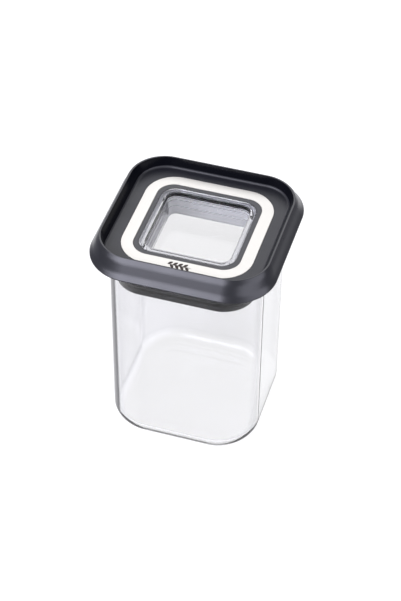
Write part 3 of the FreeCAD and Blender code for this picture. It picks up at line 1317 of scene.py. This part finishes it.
@dataclass
class SealPlug:
    """The milky sleeve under the plate and the silicone seal stretched over it.

    Args:
        jar_centre: Offset of the jar's corner arcs, which the plug follows.
        sleeve_half: Half width of the sleeve outside.
        sleeve_wall: Wall of the sleeve.
        seat_half: Half width of the seat for the cup's flange.
        mouth_half: Half width of the opening under that flange.
        seat_centre: Offset of the seat's corner arcs.
        cup_flange: Thickness of the cup's flange.
        flange: Thickness of the sleeve's flange.
        rib_low: Rise of the holding rib from the plug's bottom.
        rib_high: Top of that rib.
        rib_reach: How far the rib stands out.
        skin: Thickness of the seal's sleeve.
        bead_gap: Gap between the foot bead and the glass.
        bead_height: Height of the foot bead.
        bead_squaring: How much squarer the bead's corners are than the jar's.
        lips: Rise and gap to the glass of each wiping lip.
        lip_height: Height of a lip at its tip.
        soft: Rounding of the lips.
        bead_soft: Rounding of the foot bead.
        crisp: Rounding of small moulded edges.
    """

    jar_centre: float = 19.0
    sleeve_half: float = 35.5
    sleeve_wall: float = 2.0
    seat_half: float = 31.65
    mouth_half: float = 28.5
    seat_centre: float = 19.1
    cup_flange: float = 2.0
    flange: float = 2.0
    rib_low: float = 4.7
    rib_high: float = 6.3
    rib_reach: float = 0.7
    skin: float = 1.4
    bead_gap: float = 2.7
    bead_height: float = 3.3
    bead_squaring: float = 2.4
    lips: tuple[tuple[float, float], ...] = ((7.0, 1.1), (14.2, 0.25))
    lip_height: float = 1.6
    soft: float = 0.6
    bead_soft: float = 1.0
    crisp: float = 0.12

    def build(self) -> tuple[Piece, Piece]:
        """Builds the sleeve and the seal.

        Returns:
            The sleeve and the seal, standing for their CAD nodes.
        """
        return self.carrier(), self.seal()

    def carrier(self) -> Piece:
        """Builds the milky sleeve with its flange, seat and rib."""
        under = level("glass_jar", top=True)
        seat = under - self.cup_flange
        shelf = seat - self.flange
        low = level("seal_carrier", top=False)
        foot = level("silicone_seal", top=False)
        bore = self.sleeve_half - self.sleeve_wall
        rib = self.sleeve_half + self.rib_reach
        reach = half_width("seal_carrier")
        c, s = self.jar_centre, self.seat_centre
        turns = (
            Turn(bore, low, self.crisp, c),
            Turn(self.sleeve_half, low, self.crisp, c),
            Turn(self.sleeve_half, foot + self.rib_low, self.crisp, c),
            Turn(rib, foot + self.rib_low, self.crisp, c),
            Turn(rib, foot + self.rib_high, self.crisp, c),
            Turn(self.sleeve_half, foot + self.rib_high, self.crisp, c),
            Turn(self.sleeve_half, shelf, self.crisp, c),
            Turn(reach, shelf, self.crisp, c),
            Turn(reach, under, self.crisp, c),
            Turn(self.seat_half, under, self.crisp, s),
            Turn(self.seat_half, seat, self.crisp, s),
            Turn(self.mouth_half, seat, self.crisp, s),
            Turn(self.mouth_half, shelf, self.crisp, s),
            Turn(bore, shelf, self.crisp, c),
        )
        sleeve = SquareSweep(corner_steps=24, rounding_steps=3).build("milky_sleeve", turns)
        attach(sleeve, "lid")
        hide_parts("seal_carrier")
        return sleeve

    def seal(self) -> Piece:
        """Builds the silicone seal with its bead and lips."""
        low, high = level("silicone_seal", top=False), level("silicone_seal", top=True)
        bore = self.sleeve_half
        glass = half_width("silicone_seal") + self.lips[-1][1]
        skin = bore + self.skin
        bead = glass - self.bead_gap
        c = self.jar_centre
        b = c + self.bead_squaring
        turns = [
            Turn(bore, low, self.crisp, c),
            Turn(bead, low, self.bead_soft, b),
            Turn(bead, low + self.bead_height, self.bead_soft, b),
            Turn(skin, low + self.bead_height, self.crisp, c),
        ]
        for rise, gap in self.lips:
            tip = glass - gap
            turns += [
                Turn(skin, low + rise, self.crisp, c),
                Turn(tip, low + rise, self.soft, c),
                Turn(tip, low + rise + self.lip_height, self.soft, c),
                Turn(skin, low + rise + self.lip_height, self.crisp, c),
            ]
        turns += [
            Turn(skin, high, self.crisp, c),
            Turn(bore, high, self.crisp, c),
            Turn(bore, low + self.rib_high, self.crisp, c),
            Turn(bore + self.rib_reach, low + self.rib_high, self.crisp, c),
            Turn(bore + self.rib_reach, low + self.rib_low, self.crisp, c),
            Turn(bore, low + self.rib_low, self.crisp, c),
        ]
        seal = SquareSweep(corner_steps=28, rounding_steps=5).build("lipped_seal", turns)
        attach(seal, "lid")
        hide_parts("silicone_seal")
        return seal

    def dress(self, sleeve: Piece, seal: Piece) -> None:
        """Puts polypropylene and silicone on."""
        Finishes.CARRIER.value.put_on(sleeve)
        Finishes.SEAL.value.put_on(seal)


# ---------------------------------------------------------------------------
# The studio
# ---------------------------------------------------------------------------


@dataclass(frozen=True)
class Softbox:
    """A large square light with an even face.

    Args:
        name: Name of the light.
        azimuth: Way it stands from the canister, degrees; 0 is in front, 90 on the right.
        elevation: Height over the horizon, degrees.
        distance: Distance from the lid, metres.
        width: Width of its face, metres.
        height: Height of its face, metres.
        glow: Brightness of its face.
        colour: Colour of its light, sRGB hex.
    """

    name: str
    azimuth: float
    elevation: float
    distance: float
    width: float
    height: float
    glow: float
    colour: str

    def build(self, target: Vector) -> Piece:
        """Hangs the light.

        Args:
            target: Point it is aimed at.

        Returns:
            The light.
        """
        way = way_out(math.radians(self.azimuth), math.radians(self.elevation))
        lamp = bpy.data.lights.new(self.name, "AREA")
        lamp.shape = "RECTANGLE"
        lamp.size = self.width
        lamp.size_y = self.height
        lamp.energy = self.glow * math.pi * self.width * self.height
        lamp.color = linear_colour(self.colour)[:3]
        holder = bpy.data.objects.new(self.name, lamp)
        holder.location = target + way * self.distance
        holder.rotation_euler = way.to_track_quat("Z", "Y").to_euler()
        bpy.context.scene.collection.objects.link(holder)
        return holder


@dataclass(frozen=True)
class Studio:
    """A light table, soft light all round and three softboxes.

    Args:
        ground: Side of the light table, metres.
        sink: How far the table lies under the canister, metres.
        ambient: Brightness of the room.
        softboxes: Lights that hang round the canister.
    """

    ground: float = 8.0
    sink: float = 0.0002
    ambient: float = 0.55
    softboxes: tuple[Softbox, ...] = (
        Softbox("back_softbox", 196.0, 47.0, 1.6, 1.5, 1.1, 1.9, "#fafaff"),
        Softbox("front_softbox", -37.0, 39.0, 1.7, 1.6, 0.8, 8.8, "#eeeeff"),
        Softbox("right_softbox", 66.0, 13.0, 1.7, 2.4, 0.9, 2.6, "#eeeeff"),
    )

    def build(self) -> None:
        """Lays the floor and hangs the lights."""
        scene = bpy.context.scene
        scene.view_settings.view_transform = "Standard"
        world = bpy.data.worlds.new("soft_room")
        scene.world = world
        world.use_nodes = True
        world.node_tree.nodes.clear()
        sky = add_node(world.node_tree, "ShaderNodeBackground",
                       {"Color": linear_colour("#ffffff"), "Strength": self.ambient})
        add_node(world.node_tree, "ShaderNodeOutputWorld",
                 links=[("Surface", sky.outputs["Background"])])
        reach = self.ground / 2
        sides = ((-reach, -reach), (reach, -reach), (reach, reach), (-reach, reach))
        corners = [Vector((x, y, 0.0)) for x, y in sides]
        table = mesh_object("light_table", corners, [[0, 1, 2, 3]])
        table.data.materials.append(Finishes.GROUND.value.material())
        table.location.z = -self.sink
        target = Vector((0.0, 0.0, CAD_BOX[1][2]))
        for softbox in self.softboxes:
            softbox.build(target)


@dataclass(frozen=True)
class Vantage:
    """Where the camera stands.

    Args:
        azimuth: Turn to the right of straight in front, degrees.
        elevation: Height over the horizon, degrees.
        roll: Tilt of the picture, degrees.
        distance: From the middle of the lid's plate, metres.
        drop: How far below the plate the picture's middle lies, metres.
        slide: How far to the right the picture's middle lies, metres.
        lens: Focal length, millimetres.
        sensor: Long side of the sensor, millimetres.
        nearest: Where the camera starts to see, metres.
    """

    azimuth: float = 16.55
    elevation: float = 43.72
    roll: float = 0.69
    distance: float = 0.969
    drop: float = 0.0414
    slide: float = 0.0013
    lens: float = 104.6
    sensor: float = 36.0
    nearest: float = 0.01

    def build(self, plate: float) -> Piece:
        """Sets the camera up.

        Args:
            plate: Height of the lid's plate, metres.

        Returns:
            The camera, made the scene's own.
        """
        turn, rise, tilt = (math.radians(a) for a in (self.azimuth, self.elevation, self.roll))
        back = way_out(turn, rise)
        level_right = Vector((math.cos(turn), math.sin(turn), 0.0))
        level_up = back.cross(level_right)
        right = level_right * math.cos(tilt) + level_up * math.sin(tilt)
        up = level_up * math.cos(tilt) - level_right * math.sin(tilt)
        place = Vector((0.0, 0.0, plate)) + back * self.distance
        place = place + right * self.slide - up * self.drop
        data = bpy.data.cameras.new("studio_camera")
        data.lens = self.lens
        data.sensor_width = self.sensor
        data.clip_start = self.nearest
        data.dof.use_dof = False
        camera = bpy.data.objects.new("studio_camera", data)
        camera.matrix_world = Matrix((right, up, back)).transposed().to_4x4()
        camera.matrix_world.translation = place
        bpy.context.scene.collection.objects.link(camera)
        bpy.context.scene.camera = camera
        return camera


def main() -> None:
    """Builds the canister piece by piece, then the studio round it."""
    logging.basicConfig(level=logging.INFO, format="%(name)s: %(message)s")
    glass = GlassJar()
    jar = glass.build()
    glass.dress(jar)

    inlay = TrimInlay()
    window = WindowCup()
    shell_maker = LidShell()
    shell = shell_maker.build(inlay, window)
    shell_maker.dress(shell)

    ring, sprig = inlay.build()
    inlay.dress(ring, sprig)

    cup = window.build()
    window.dress(cup)

    plug = SealPlug()
    sleeve, seal = plug.build()
    plug.dress(sleeve, seal)
    for piece in (jar, shell, ring, sprig, cup, sleeve, seal):
        log.info("%s: %d faces", piece.name, len(piece.data.polygons))

    Studio().build()
    Vantage().build(level("trim_ring", top=True) * MM)


if __name__ == "__main__":
    main()
